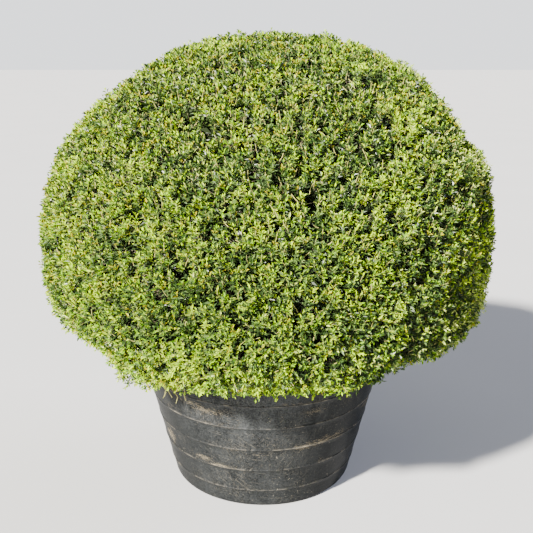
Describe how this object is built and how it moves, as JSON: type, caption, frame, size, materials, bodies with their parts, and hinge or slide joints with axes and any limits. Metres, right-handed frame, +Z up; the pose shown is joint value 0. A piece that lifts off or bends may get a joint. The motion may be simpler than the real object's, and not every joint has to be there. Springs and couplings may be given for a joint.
{
  "type": "box topiary ball in a round container",
  "caption": "Evergreen shrub clipped to a broad ball of small dense leaves, standing on a short stem in a tapered round nursery container with raised rings.",
  "frame": {"origin": "centre of the container's flat underside, on the ground", "axes": "+Z up, -Y is the front seen first, +X to the right of someone facing the front"},
  "size_m": [1.1452, 1.1364, 1.1621],
  "materials": {
    "pot_plastic": "weathered black container plastic, satin, dusty and scuffed",
    "potting_mix": "damp bark and peat mix",
    "bark": "finely ridged pale bark",
    "box_foliage": "small glossy evergreen leaves"
  },
  "bodies": {
    "root": {"pot": "pot_plastic", "potting_soil": "potting_mix", "short_stem": "bark", "clipped_crown": "box_foliage"}
  },
  "joints": []
}
